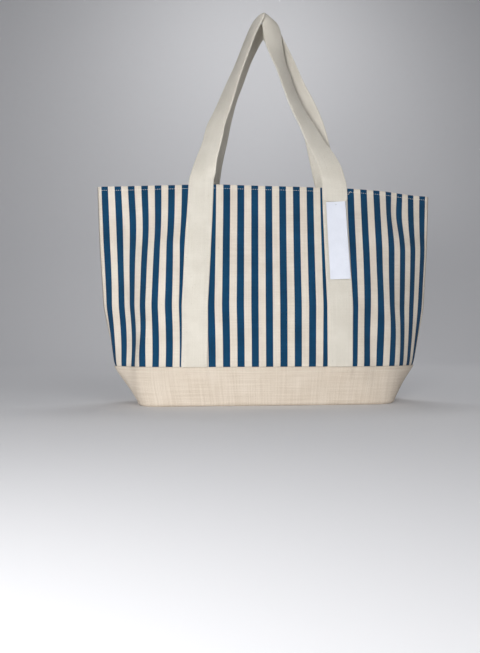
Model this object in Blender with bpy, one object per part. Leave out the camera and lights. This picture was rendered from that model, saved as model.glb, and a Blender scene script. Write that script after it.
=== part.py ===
"""Striped canvas tote bag, standing on its base with both carrying handles raised.

Units are metres, +Z is up and the front of the bag faces -Y.  The origin is the centre of the
base's footprint on the surface that the bag stands on.  The rear half of the bag is the front
half turned half a revolution about Z, so every shape is described once, on the front.

A place on the cloth is given by (s, z, offset): s is the distance along the cloth from the
middle of the panel, z the height, and offset the distance outward from the cloth's outer face.
"""
import math
from bisect import bisect_right

import bmesh
import bpy
from mathutils import Matrix, Vector

# ---- driving dimensions --------------------------------------------------------------
HEIGHT = 0.344              # mouth above the base
PANEL_HALF = 0.277          # half the width of one side panel, laid flat
SKEW = 0.13                 # sideways lean of the soft body: x shift per unit of y
CLOTH = 0.0016              # canvas, one ply with its turnings
HEM_HEIGHT = 0.009          # depth of the turned hem at the mouth
HEM_EXTRA = CLOTH / 2       # the turned ply's thickness on the inside
HEM_STITCH_DROP = 0.0070    # hem's thread line below the mouth
SEAM_GAP = 0.0080           # a panel stops this short of the side seam
STITCH_END_GAP = 0.018      # thread lines stop this short of the side seam
BAND_HEIGHT = 0.0585        # top edge of the plain canvas base
BAND_OVERLAP = 0.012        # striped panel tucked behind the base's top edge
BAND_LIFT = 0.0009          # band's inner face outside the panels
BAND_STITCH_DROP = 0.0075   # base's thread line below its top edge
FLOOR = 0.002               # thickness of the canvas bottom
TURNING_DEPTH = 0.011       # cloth turned in at a side seam
TURNING_HALF = 0.0008       # half the pressed thickness of those turnings
TURNING_CLEAR = 0.0012      # turnings stand this far inside the panels

STRAP_WIDTH = 0.040
STRAP_THICK = 0.002
STRAP_CENTRES = {           # strap's centre line at the base's top edge and at the mouth
    "left": (-0.1150, -0.1065),
    "right": (0.1095, 0.1053),
}
STRAP_LIFT = 0.0011         # strap's inner face above the panel, over the hem stitches

AIR = 0.0004                # gap between pieces that touch
THREAD_WIDTH = 0.0010
THREAD_THICK = 0.0004
EDGE_STITCH = 0.003         # thread lines in from a strap's edges
CROSS_STITCH_INSET = 0.005  # a cross line stops this far in from a strap's edges

HINGE_LIFT = 0.0047         # handle's bending line outward of the panel
HANDLE_STATIONS = 48
HANDLE_START = HEIGHT + 0.0006
APEX_Y = -0.014             # front handle's highest point, in front of the middle
APEX_WIDTH = 0.026          # the strap folds lengthwise as it turns over the top

TAB_DROP = 0.0245           # overlapped end of the handle below the mouth
TAB_CUT = 0.005             # its lower corners are cut off by this much
TAB_THICK = 0.0012
TAB_STITCHES = (("upper", 0.0035), ("lower", 0.0115))
TAG_WIDTH = 0.030
TAG_HEIGHT = 0.128
TAG_THICK = 0.0005
TAG_TOP = 0.3185
TAG_HOLE_DROP = 0.0050
TAG_HOLE_RADIUS = 0.0009
TAG_TOP_Y = -0.0425         # the tag leans on the strap's slope
TAG_BOTTOM_Y = -0.0614
TAG_SHIFT = -0.0010         # tag's middle from the strap's middle
STUD_RADIUS = 0.0005
STUD_HEAD_RADIUS = 0.0013
STUD_HEAD_THICK = 0.0006
STUD_HEAD_AIR = 0.0007      # between the tag and the stud's head
STUD_FOOT_AIR = 0.0002      # between the stud's foot and the strap

# Horizontal outline at each height: z, half width at the seams, half depth, and for the left
# and right wings the half width of the flat middle and the two powers that round the corner.
LEVELS = (
    (0.0000, 0.2050, 0.0700, (0.145, 4.50, 0.45), (0.145, 4.50, 0.45)),
    (0.0585, 0.2455, 0.0690, (0.125, 1.60, 0.66), (0.085, 3.20, 0.75)),
    (0.1500, 0.2655, 0.0620, (0.100, 1.68, 0.92), (0.128, 1.40, 0.85)),
    (0.2500, 0.2730, 0.0425, (0.120, 1.08, 0.90), (0.118, 2.00, 0.82)),
    (0.3440, 0.2775, 0.0320, (0.075, 1.10, 0.85), (0.124, 1.20, 0.85)),
)

# Each handle's centre line from its left foot over the top to its right foot, seen from its own
# side of the bag: x, z and how far the strap has turned to ride over the top, in degrees.
HANDLE_LINES = {
    "front": (
        (-0.1109, HANDLE_START, 0), (-0.1060, 0.381, 24), (-0.0955, 0.416, 36),
        (-0.0880, 0.443, 40), (-0.0767, 0.472, 46), (-0.0604, 0.521, 56), (-0.0488, 0.553, 60),
        (-0.0337, 0.5955, 62), (-0.0195, 0.626, 54), (-0.0075, 0.634, 38),
        (0.0000, 0.624, 22), (0.0035, 0.608, 14), (0.0077, 0.589, 22), (0.0148, 0.563, 36),
        (0.0235, 0.5375, 42), (0.0329, 0.507, 42), (0.0463, 0.473, 36), (0.0606, 0.446, 30),
        (0.0735, 0.419, 24), (0.0875, 0.395, 16), (0.0975, 0.371, 7), (0.1009, HANDLE_START, 0),
    ),
    "back": (
        (-0.1109, HANDLE_START, 0), (-0.1060, 0.372, 10), (-0.0945, 0.422, 24),
        (-0.0828, 0.466, 36), (-0.0680, 0.502, 44), (-0.0523, 0.5314, 46), (-0.0362, 0.568, 48),
        (-0.0220, 0.599, 50), (-0.0110, 0.620, 52), (0.0020, 0.630, 54), (0.0150, 0.624, 56),
        (0.0260, 0.605, 58), (0.0370, 0.580, 58), (0.0500, 0.545, 54), (0.0625, 0.514, 48),
        (0.0740, 0.475, 40), (0.0820, 0.444, 30), (0.0925, 0.405, 16), (0.0985, 0.370, 6),
        (0.1009, HANDLE_START, 0),
    ),
}

COLUMNS = (0.0, 0.045, 0.084, 0.137, 0.165, 0.190, 0.212, 0.232, 0.248, 0.261, 0.271,
           PANEL_HALF)
PANEL_FOOT = BAND_HEIGHT - BAND_OVERLAP
HEM_FOOT = HEIGHT - HEM_HEIGHT
ROWS = (0.0, FLOOR, PANEL_FOOT, BAND_HEIGHT, 0.110, 0.150, 0.200, 0.250, 0.295, HEM_FOOT,
        HEIGHT, HANDLE_START)

MATERIALS = {
    "striped_canvas": ((0.085, 0.165, 0.245), 0.92),
    "natural_canvas": ((0.690, 0.600, 0.480), 0.93),
    "strap_canvas": ((0.740, 0.680, 0.570), 0.90),
    "thread": ((0.850, 0.810, 0.720), 0.80),
    "card": ((0.860, 0.880, 0.920), 0.60),
    "clear_plastic": ((0.900, 0.910, 0.930), 0.30),
}


# ---- scene helpers -------------------------------------------------------------------
def clear_scene():
    for item in list(bpy.data.objects):
        bpy.data.objects.remove(item, do_unlink=True)


def material(name):
    found = bpy.data.materials.get(name)
    if found:
        return found
    colour, roughness = MATERIALS[name]
    made = bpy.data.materials.new(name)
    made.use_nodes = True
    shader = made.node_tree.nodes["Principled BSDF"]
    shader.inputs["Base Color"].default_value = (*colour, 1.0)
    shader.inputs["Roughness"].default_value = roughness
    made.diffuse_color = (*colour, 1.0)
    return made


def add_object(name, mesh_builder, material_name, parent=None, turned=False):
    """Make a node from a bmesh in world space; `turned` puts it on the rear of the bag."""
    if turned:
        bmesh.ops.transform(mesh_builder, matrix=Matrix.Rotation(math.pi, 4, "Z"),
                            verts=mesh_builder.verts)
    if parent:
        bmesh.ops.transform(mesh_builder, matrix=Matrix.Translation(-parent.location),
                            verts=mesh_builder.verts)
    bmesh.ops.triangulate(mesh_builder, faces=mesh_builder.faces, quad_method="FIXED")
    bmesh.ops.recalc_face_normals(mesh_builder, faces=mesh_builder.faces)
    mesh = bpy.data.meshes.new(name)
    mesh_builder.to_mesh(mesh)
    mesh_builder.free()
    mesh.materials.append(material(material_name))
    made = bpy.data.objects.new(name, mesh)
    bpy.context.scene.collection.objects.link(made)
    made.parent = parent
    return made


def add_pivot(name, place):
    pivot = bpy.data.objects.new(name, None)
    pivot.location = place
    pivot.empty_display_size = 0.02
    bpy.context.scene.collection.objects.link(pivot)
    return pivot


# ---- the cloth's surface -------------------------------------------------------------
LEFT_WING = 3               # each wing's place in a row of LEVELS
RIGHT_WING = 4


def bracket(values, value):
    """The step of a rising list that holds the value, and the share of that step below it."""
    i = min(max(bisect_right(values, value) - 1, 0), len(values) - 2)
    return i, (value - values[i]) / (values[i + 1] - values[i])


def level_at(z, wing):
    """One wing's outline parameters at height z, blended between the two nearest levels."""
    z = min(max(z, LEVELS[0][0]), LEVELS[-1][0])
    for low, high in zip(LEVELS, LEVELS[1:]):
        if z <= high[0]:
            share = (z - low[0]) / (high[0] - low[0])
            ends = zip((*low[1:3], *low[wing]), (*high[1:3], *high[wing]))
            return [a + (b - a) * share for a, b in ends]


def half_outline(z, wing, steps=160):
    """Points from the panel's middle to a seam, as if on the right, and the distance along."""
    half_width, half_depth, flat, corner_power, edge_power = level_at(z, wing)
    points = []
    for i in range(steps + 1):
        x = half_width * math.sin(0.5 * math.pi * i / steps)
        share = max(0.0, (x - flat) / (half_width - flat))
        y = -half_depth * max(0.0, 1.0 - share ** corner_power) ** edge_power
        points.append((x, y))
    lengths = [0.0]
    for (x0, y0), (x1, y1) in zip(points, points[1:]):
        lengths.append(lengths[-1] + math.hypot(x1 - x0, y1 - y0))
    return points, lengths


def outline_points(z):
    """The front outline at height z, one point for each column from left seam to right seam."""
    left = [(-x, y) for x, y in wing_points(z, LEFT_WING)]
    both = left[:0:-1] + wing_points(z, RIGHT_WING)
    return [Vector((x + SKEW * y, y)) for x, y in both]


def wing_points(z, wing):
    """One wing's outline at height z, one point for each column, as if on the right."""
    points, lengths = half_outline(z, wing)
    found = []
    for column in COLUMNS:
        i, share = bracket(lengths, column / PANEL_HALF * lengths[-1])
        found.append((points[i][0] + (points[i + 1][0] - points[i][0]) * share,
                      points[i][1] + (points[i + 1][1] - points[i][1]) * share))
    return found


def outline_normals(points):
    """Mitred outward normals; the rear outline is the front one turned half a revolution."""
    before = -points[-2]
    after = -points[1]
    ring = [before, *points, after]
    normals = []
    for left, here, right in zip(ring, ring[1:], ring[2:]):
        first = (here - left).normalized()
        second = (right - here).normalized()
        bisector = (first + second).normalized()
        normal = Vector((bisector.y, -bisector.x))
        cosine = max(0.6, first.dot(bisector))
        normals.append(normal / cosine)
    return normals


ALL_COLUMNS = tuple(-c for c in reversed(COLUMNS[1:])) + COLUMNS
GRID = []
for row_height in ROWS:
    row_points = outline_points(row_height)
    GRID.append((row_points, outline_normals(row_points)))


def wall_point(s, z, offset):
    """A point on the front cloth, or outside it by the offset."""
    column, across = bracket(ALL_COLUMNS, s)
    row, up = bracket(ROWS, z)

    def on_row(points, normals):
        low = points[column] + normals[column] * offset
        high = points[column + 1] + normals[column + 1] * offset
        return low.lerp(high, across)

    flat = on_row(*GRID[row]).lerp(on_row(*GRID[row + 1]), up)
    return Vector((flat.x, flat.y, z))


def between(low, high, stops):
    """The two ends, and every stop that lies strictly between them."""
    return [low] + [v for v in stops if low + 1e-6 < v < high - 1e-6] + [high]


def shell(grid_outer, grid_inner):
    """A closed solid between two grids of points with the same numbers of rows and columns."""
    mesh_builder = bmesh.new()
    outer = [[mesh_builder.verts.new(p) for p in row] for row in grid_outer]
    inner = [[mesh_builder.verts.new(p) for p in row] for row in grid_inner]
    rows = len(outer)
    columns = len(outer[0])
    for r in range(rows - 1):
        for c in range(columns - 1):
            mesh_builder.faces.new((outer[r][c], outer[r][c + 1],
                                    outer[r + 1][c + 1], outer[r + 1][c]))
            mesh_builder.faces.new((inner[r][c], inner[r + 1][c],
                                    inner[r + 1][c + 1], inner[r][c + 1]))
    for r in range(rows - 1):
        for c in (0, columns - 1):
            mesh_builder.faces.new((outer[r][c], outer[r + 1][c], inner[r + 1][c], inner[r][c]))
    for c in range(columns - 1):
        for r in (0, rows - 1):
            mesh_builder.faces.new((outer[r][c], outer[r][c + 1], inner[r][c + 1], inner[r][c]))
    return mesh_builder


def cloth_patch(s_range, z_range, inner, outer):
    """A patch of cloth of even thickness lying on the front panel."""
    across = between(*s_range, ALL_COLUMNS)
    up = between(*z_range, ROWS)
    return shell([[wall_point(s, z, outer) for s in across] for z in up],
                 [[wall_point(s, z, inner) for s in across] for z in up])


# ---- body of the bag -----------------------------------------------------------------
def add_panel(name, turned):
    """Striped panel with its hem turned inward along the mouth."""
    end = PANEL_HALF - SEAM_GAP
    across = between(-end, end, ALL_COLUMNS)
    outer, inner = [], []
    for z in between(PANEL_FOOT, HEIGHT, ROWS):
        outer.append([wall_point(s, z, 0.0) for s in across])
        if z <= HEM_FOOT:
            inner.append([wall_point(s, z, -CLOTH) for s in across])
        if z == HEM_FOOT:
            outer.append([wall_point(s, z + HEM_EXTRA, 0.0) for s in across])
        if z >= HEM_FOOT:
            inner.append([wall_point(s, z, -CLOTH - HEM_EXTRA) for s in across])
    add_object(name, shell(outer, inner), "striped_canvas", turned=turned)


def ring_at(mesh_builder, z, offset):
    """A closed loop of vertices round the bag at one height."""
    front = [wall_point(s, z, offset) for s in ALL_COLUMNS[:-1]]
    rear = [Vector((-p.x, -p.y, p.z)) for p in front]
    return [mesh_builder.verts.new(p) for p in front + rear]


def add_base():
    """Plain canvas base: a flat bottom with a band that covers the panels' lower edges."""
    mesh_builder = bmesh.new()
    outside = BAND_LIFT + CLOTH
    stitch = BAND_HEIGHT - BAND_STITCH_DROP
    heights = (0.0, PANEL_FOOT, stitch, stitch + THREAD_WIDTH, BAND_HEIGHT)
    rings = [ring_at(mesh_builder, z, outside) for z in heights]
    linings = [ring_at(mesh_builder, z, BAND_LIFT) for z in (FLOOR, PANEL_FOOT, BAND_HEIGHT)]
    for stack in (rings, linings, (linings[-1], rings[-1])):
        for low, high in zip(stack, stack[1:]):
            for i, vertex in enumerate(low):
                j = (i + 1) % len(low)
                mesh_builder.faces.new((vertex, low[j], high[j], high[i]))
    mesh_builder.faces.new(rings[0])
    mesh_builder.faces.new(linings[0])
    add_object("base_panel", mesh_builder, "natural_canvas")


def add_seam_allowance(name, turned):
    """The pressed-together turnings inside a side seam, standing inward from it."""
    up = between(PANEL_FOOT + 2 * TURNING_CLEAR, HEM_FOOT - 2 * TURNING_CLEAR, ROWS)
    tips = [wall_point(PANEL_HALF, z, -CLOTH - TURNING_CLEAR) for z in up]
    shift = Vector((TURNING_DEPTH, 0.0, 0.0))
    side = Vector((0.0, TURNING_HALF, 0.0))
    outer = [[tip - side - shift, tip - side] for tip in tips]
    inner = [[tip + side - shift, tip + side] for tip in tips]
    add_object(name, shell(outer, inner), "natural_canvas", turned=turned)


def add_body():
    for face, turned in (("front", False), ("back", True)):
        add_panel(f"{face}_panel", turned)
    add_base()
    for side, turned in (("right", False), ("left", True)):
        add_seam_allowance(f"{side}_side_seam", turned)


def add_body_stitching():
    """One thread line along the mouth hem and one along the base's top edge, front and back."""
    end = PANEL_HALF - STITCH_END_GAP
    rows = (("hem", HEIGHT - HEM_STITCH_DROP, AIR),
            ("base", BAND_HEIGHT - BAND_STITCH_DROP, BAND_LIFT + CLOTH + AIR))
    for face, turned in (("front", False), ("back", True)):
        for seam, z, lift in rows:
            thread = cloth_patch((-end, end), (z, z + THREAD_WIDTH), lift, lift + THREAD_THICK)
            add_object(f"{face}_{seam}_stitching", thread, "thread", turned=turned)


# ---- straps sewn to the panels -------------------------------------------------------
def strap_centre(side, z):
    foot, head = STRAP_CENTRES[side]
    return foot + (head - foot) * (z - BAND_HEIGHT) / (HEIGHT - BAND_HEIGHT)


def strap_patch(side, across, z_range, inner, outer):
    """A patch that follows a strap's slight lean; `across` is measured from its centre line."""
    up = between(*z_range, ROWS)
    return shell([[wall_point(strap_centre(side, z) + v, z, outer) for v in across] for z in up],
                 [[wall_point(strap_centre(side, z) + v, z, inner) for v in across] for z in up])


def add_sewn_strap(face, side, turned):
    """The lower run of a handle, sewn down each edge from the base to the mouth."""
    name = f"{face}_{side}_strap"
    half = STRAP_WIDTH / 2
    top = STRAP_LIFT + STRAP_THICK
    strap = strap_patch(side, (-half, half), (BAND_HEIGHT + AIR, HEIGHT - AIR / 2),
                        STRAP_LIFT, top)
    add_object(name, strap, "strap_canvas", turned=turned)

    lift = top + AIR
    below = TAB_DROP + EDGE_STITCH if side == "right" else HEM_STITCH_DROP + EDGE_STITCH
    outward = -1 if side == "left" else 1
    for edge, sign in (("inner", -outward), ("outer", outward)):
        middle = sign * (half - EDGE_STITCH)
        across = (middle - THREAD_WIDTH / 2, middle + THREAD_WIDTH / 2)
        thread = strap_patch(side, across, (BAND_HEIGHT + EDGE_STITCH, HEIGHT - below),
                             lift, lift + THREAD_THICK)
        add_object(f"{name}_{edge}_stitching", thread, "thread", turned=turned)

    if side == "right":
        add_tab(face, lift, turned)
    else:
        add_cross_stitch(f"{name}_top_stitching", side, HEM_STITCH_DROP, lift, turned)


def add_cross_stitch(name, side, drop, lift, turned):
    """A short thread line across a strap, that far below the mouth."""
    reach = STRAP_WIDTH / 2 - CROSS_STITCH_INSET
    low = HEIGHT - drop
    thread = strap_patch(side, (-reach, reach), (low, low + THREAD_WIDTH), lift,
                         lift + THREAD_THICK)
    add_object(name, thread, "thread", turned=turned)


def add_tab(face, lift, turned):
    """The handle's overlapped end, with its lower corners cut off, and its two thread lines."""
    half = STRAP_WIDTH / 2 - AIR
    foot = HEIGHT - TAB_DROP
    edge = ((-half, HEIGHT - AIR), (-half, foot + TAB_CUT), (TAB_CUT - half, foot),
            (half - TAB_CUT, foot), (half, foot + TAB_CUT), (half, HEIGHT - AIR))
    mesh_builder = bmesh.new()
    layers = []
    for offset in (lift + TAB_THICK, lift):
        places = [wall_point(strap_centre("right", z) + v, z, offset) for v, z in edge]
        layers.append([mesh_builder.verts.new(place) for place in places])
    for grid in layers:
        mesh_builder.faces.new((grid[0], grid[1], grid[4], grid[5]))
        mesh_builder.faces.new((grid[1], grid[2], grid[3], grid[4]))
    outer, inner = layers
    for i in range(len(edge)):
        j = (i + 1) % len(edge)
        mesh_builder.faces.new((outer[i], outer[j], inner[j], inner[i]))
    add_object(f"{face}_strap_join_tab", mesh_builder, "strap_canvas", turned=turned)
    for row, drop in TAB_STITCHES:
        add_cross_stitch(f"{face}_tab_{row}_stitching", "right", drop,
                         lift + TAB_THICK + AIR, turned)


def add_sewn_straps():
    for face, turned in (("front", False), ("back", True)):
        for side in ("left", "right"):
            add_sewn_strap(face, side, turned)


# ---- handles -------------------------------------------------------------------------
def smooth_line(points, stations):
    """Evenly spaced points on a smooth curve through the given ones."""
    ends = [points[0] * 2 - points[1], *points, points[-1] * 2 - points[-2]]
    dense = []
    for a, b, c, d in zip(ends, ends[1:], ends[2:], ends[3:]):
        for i in range(12):
            t = i / 12
            dense.append(0.5 * (2 * b + (c - a) * t + (2 * a - 5 * b + 4 * c - d) * t ** 2
                                + (3 * b - a - 3 * c + d) * t ** 3))
    dense.append(points[-1])
    lengths = [0.0]
    for first, second in zip(dense, dense[1:]):
        lengths.append(lengths[-1] + (second - first).length)
    line = []
    for k in range(stations + 1):
        i, share = bracket(lengths, lengths[-1] * k / stations)
        line.append(dense[i].lerp(dense[i + 1], share))
    return line


def handle_line(face, stations):
    """Centre line of a handle, leaning back from the mouth to its top, and its turn."""
    middle = STRAP_LIFT + STRAP_THICK / 2
    feet = [wall_point(strap_centre(side, HEIGHT), HANDLE_START, middle).y
            for side in ("left", "right")]
    controls = HANDLE_LINES[face]
    heights = [z for x, z, turn in controls]
    rise = max(heights) - HANDLE_START
    highest = heights.index(max(heights))
    points = []
    for i, (x, z, turn) in enumerate(controls):
        share = (z - HANDLE_START) / rise
        foot_y = feet[0] if i < highest else feet[1]
        points.append(Vector((x, foot_y + (APEX_Y - foot_y) * share, z, math.radians(turn))))
    return smooth_line(points, stations)


def add_handle(face, pivot, turned):
    """A strap loop that lies flat against the panel at its feet and turns to ride over the top."""
    line = handle_line(face, HANDLE_STATIONS)
    places = [point.to_3d() for point in line]
    top = max(place.z for place in places)
    highest = [place.z for place in places].index(top)
    outer, inner = [], []
    for i, place in enumerate(places):
        tangent = (places[min(i + 1, len(places) - 1)] - places[max(i - 1, 0)]).normalized()
        rising = 1.0 if i < highest else -1.0
        if i in (0, len(places) - 1):
            tangent = Vector((0.0, 0.0, rising))
        turn = line[i].w
        flat_way = Vector((rising * math.cos(turn), -math.sin(turn), 0.0))
        across = (flat_way - tangent * flat_way.dot(tangent)).normalized()
        share = max(0.0, (place.z - HANDLE_START) / (top - HANDLE_START))
        half = 0.5 * (STRAP_WIDTH + (APEX_WIDTH - STRAP_WIDTH) * share ** 2)
        side = across * half
        depth = tangent.cross(across).normalized() * STRAP_THICK / 2
        outer.append([place - side + depth, place + side + depth])
        inner.append([place - side - depth, place + side - depth])
    add_object(f"{face}_handle_loop", shell(outer, inner), "strap_canvas", parent=pivot,
               turned=turned)


def add_handles():
    hinge_y = wall_point(strap_centre("right", HEIGHT), HANDLE_START, HINGE_LIFT).y
    for face, turned, y in (("front", False, hinge_y), ("back", True, -hinge_y)):
        pivot = add_pivot(f"{face}_handle_axis", (0.0, y, HANDLE_START))
        add_handle(face, pivot, turned)


# ---- hang tag ------------------------------------------------------------------------
def tag_frame():
    """Centre of the tag's hole, its downward direction and its outward normal."""
    down = Vector((0.0, TAG_BOTTOM_Y - TAG_TOP_Y, -TAG_HEIGHT)).normalized()
    out = Vector((0.0, down.z, -down.y))
    strap_x = wall_point(strap_centre("right", TAG_TOP), TAG_TOP, 0.0).x
    top = Vector((strap_x + TAG_SHIFT, TAG_TOP_Y, TAG_TOP))
    return top + down * TAG_HOLE_DROP, down, out


def add_tag(pivot):
    """A card with a small round hole near its top edge."""
    hole, down, out = tag_frame()
    sideways = Vector((1.0, 0.0, 0.0))
    sides = 12
    rim = [(TAG_HOLE_RADIUS * math.cos(2 * math.pi * i / sides),
            TAG_HOLE_RADIUS * math.sin(2 * math.pi * i / sides)) for i in range(sides)]
    half = TAG_WIDTH / 2
    low = TAG_HEIGHT - TAG_HOLE_DROP
    frame = ((half, 0.0), (half, low), (0.0, low), (-half, low), (-half, 0.0),
             (-half, -TAG_HOLE_DROP), (0.0, -TAG_HOLE_DROP), (half, -TAG_HOLE_DROP))
    bridge = ((0, 0), (1, 1), (2, 1), (3, 2), (4, 3), (5, 3), (6, 4), (7, 5), (8, 5), (9, 6),
              (10, 7), (11, 7))
    mesh_builder = bmesh.new()
    layers = []
    for depth in (TAG_THICK / 2, -TAG_THICK / 2):
        loops = []
        for outline in (rim, frame):
            places = [hole + sideways * u + down * v + out * depth for u, v in outline]
            loops.append([mesh_builder.verts.new(place) for place in places])
        layers.append(loops)
    for inside, outside in layers:
        for i in range(sides):
            j = (i + 1) % sides
            a, b = bridge[i][1], bridge[j][1]
            corners = [inside[i], outside[a]]
            if a != b:
                corners.append(outside[b])
            corners.append(inside[j])
            mesh_builder.faces.new(corners)
    for loop in (0, 1):
        front, rear = layers[0][loop], layers[1][loop]
        for i in range(len(front)):
            j = (i + 1) % len(front)
            mesh_builder.faces.new((front[i], front[j], rear[j], rear[i]))
    add_object("hang_tag", mesh_builder, "card", parent=pivot)


def add_fastener(pivot):
    """A plastic stud through the tag's hole: a thin shaft with a small round head."""
    hole, down, out = tag_frame()
    sideways = Vector((1.0, 0.0, 0.0))
    strap_top = STRAP_LIFT + STRAP_THICK + AIR
    strap_face = wall_point(strap_centre("right", hole.z), hole.z, strap_top).y
    foot = STUD_FOOT_AIR - (strap_face - hole.y) / -out.y
    head = TAG_THICK / 2 + STUD_HEAD_AIR
    profile = ((foot, STUD_RADIUS), (head, STUD_RADIUS), (head, STUD_HEAD_RADIUS),
               (head + STUD_HEAD_THICK, STUD_HEAD_RADIUS))
    sides = 12
    mesh_builder = bmesh.new()
    rings = []
    for along, radius in profile:
        ring = []
        for i in range(sides):
            angle = 2 * math.pi * i / sides
            place = hole + out * along + sideways * radius * math.cos(angle)
            ring.append(mesh_builder.verts.new(place + down * radius * math.sin(angle)))
        rings.append(ring)
    for low, high in zip(rings, rings[1:]):
        for i in range(sides):
            j = (i + 1) % sides
            mesh_builder.faces.new((low[i], low[j], high[j], high[i]))
    mesh_builder.faces.new(rings[0])
    mesh_builder.faces.new(rings[-1])
    add_object("tag_fastener", mesh_builder, "clear_plastic", parent=pivot)


def add_tag_assembly():
    hole, down, out = tag_frame()
    pivot = add_pivot("tag_axis", hole)
    add_tag(pivot)
    add_fastener(pivot)


clear_scene()
add_body()
add_body_stitching()
add_sewn_straps()
add_handles()
add_tag_assembly()
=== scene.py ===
"""Looks of the striped canvas tote bag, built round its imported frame.

Units are metres.  A place on the cloth is (s, z, offset): s is the distance along the cloth from
the middle of a panel, z the height, and offset the distance outward from the cloth's outer face.
The rear half of the bag is the front half turned half a revolution about Z, with folds of its own.
"""

import math

import bmesh
import bpy
import numpy as np
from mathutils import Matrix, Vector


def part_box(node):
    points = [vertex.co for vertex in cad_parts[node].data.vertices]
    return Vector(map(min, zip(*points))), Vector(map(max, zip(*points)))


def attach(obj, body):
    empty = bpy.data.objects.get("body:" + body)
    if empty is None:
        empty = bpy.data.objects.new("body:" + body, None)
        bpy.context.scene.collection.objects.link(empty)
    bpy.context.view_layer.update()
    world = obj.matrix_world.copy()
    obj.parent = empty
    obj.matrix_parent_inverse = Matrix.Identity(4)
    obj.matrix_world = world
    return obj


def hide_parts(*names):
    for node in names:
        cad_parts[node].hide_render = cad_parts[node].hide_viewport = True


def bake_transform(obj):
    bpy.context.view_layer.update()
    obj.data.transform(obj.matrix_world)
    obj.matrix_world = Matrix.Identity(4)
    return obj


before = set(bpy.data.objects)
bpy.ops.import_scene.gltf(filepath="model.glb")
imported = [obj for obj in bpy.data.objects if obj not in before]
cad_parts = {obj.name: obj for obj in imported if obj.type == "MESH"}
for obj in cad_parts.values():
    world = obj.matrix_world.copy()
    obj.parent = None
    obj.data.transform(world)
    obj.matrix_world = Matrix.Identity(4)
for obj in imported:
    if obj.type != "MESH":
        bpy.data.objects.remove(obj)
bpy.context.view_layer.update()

# ---- driving dimensions --------------------------------------------------------------
HEIGHT = float(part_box("front_panel")[1].z)
BAND_TOP = float(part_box("base_panel")[1].z)
PANEL_HALF = 0.277
PANEL_TUCK = 0.012
HEM_DEPTH = 0.0105
BAND_GAP = 0.0007
BASE_EDGE = 0.006
SKEW = 0.13
CANVAS = 0.0011
STRIPE_PITCH = 0.022
STRAP_HALF = 0.020
STRAP_THICK = 0.0018
STRAP_LIFT = 0.0002
STRAP_TUCK = 0.011
STRAP_MIDDLE = STRAP_LIFT + STRAP_THICK / 2
LAP_LIFT = 0.0002
LAP_MIDDLE = STRAP_MIDDLE + STRAP_THICK + LAP_LIFT
APEX_HALF = 0.0165
TAG_YAW = 0.17
TAG_PLY = 0.00034
TAG_HOLE_DROP = 0.0050
TAG_HOLE_RADIUS = 0.0011
STITCH_PITCH = 0.0034
STITCH_LENGTH = 0.0025
THREAD_RADIUS = 0.00030
HEM_STITCH_Z = HEIGHT - 0.0065
BAND_STITCH_Z = BAND_TOP - 0.0075
TAB_DROP = 0.0245
TAB_CUT = 0.0060
WING_ROOM = 0.0048
WING_REACH = 0.0075

# Horizontal outline at each height: z, half width at the seams, half depth, and for the left
# and right wings the half width of the flat middle and the two powers that round the corner.
LEVELS = np.array((
    (0.0000, 0.2000, 0.0700, 0.142, 4.50, 0.45, 0.145, 4.50, 0.45),
    (0.0585, 0.2455, 0.0690, 0.125, 1.60, 0.66, 0.085, 3.20, 0.75),
    (0.1500, 0.2655, 0.0620, 0.100, 2.00, 1.25, 0.128, 1.40, 0.88),
    (0.2500, 0.2730, 0.0425, 0.140, 1.10, 1.35, 0.118, 2.00, 0.85),
    (0.3440, 0.2775, 0.0320, 0.080, 1.15, 0.93, 0.124, 1.50, 1.25),
))

# Soft folds in the front panel: how far each stands out, its place s at z = 0.1, how it leans
# as it rises, its half width, its middle height and its half height.
FOLDS = (
    (-0.0043, -0.229, -0.11, 0.020, 0.110, 0.125),
    (0.0055, -0.198, 0.17, 0.0135, 0.078, 0.034),
    (-0.0055, -0.142, 0.00, 0.020, 0.160, 0.090),
    (0.0080, -0.266, -0.01, 0.012, 0.100, 0.077),
    (0.0031, 0.197, -0.23, 0.020, 0.130, 0.065),
    (-0.0030, 0.160, -0.18, 0.0135, 0.088, 0.075),
    (0.0037, 0.194, 0.02, 0.030, 0.300, 0.080),
    (-0.0055, 0.230, -0.08, 0.019, 0.305, 0.030),
    (-0.0050, -0.196, -0.09, 0.030, 0.286, 0.044),
)

# A strap's centre line at the base's top edge and at the mouth.
STRAP_LINES = {"left": (-0.1150, -0.1065), "right": (0.1095, 0.1053)}

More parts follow.
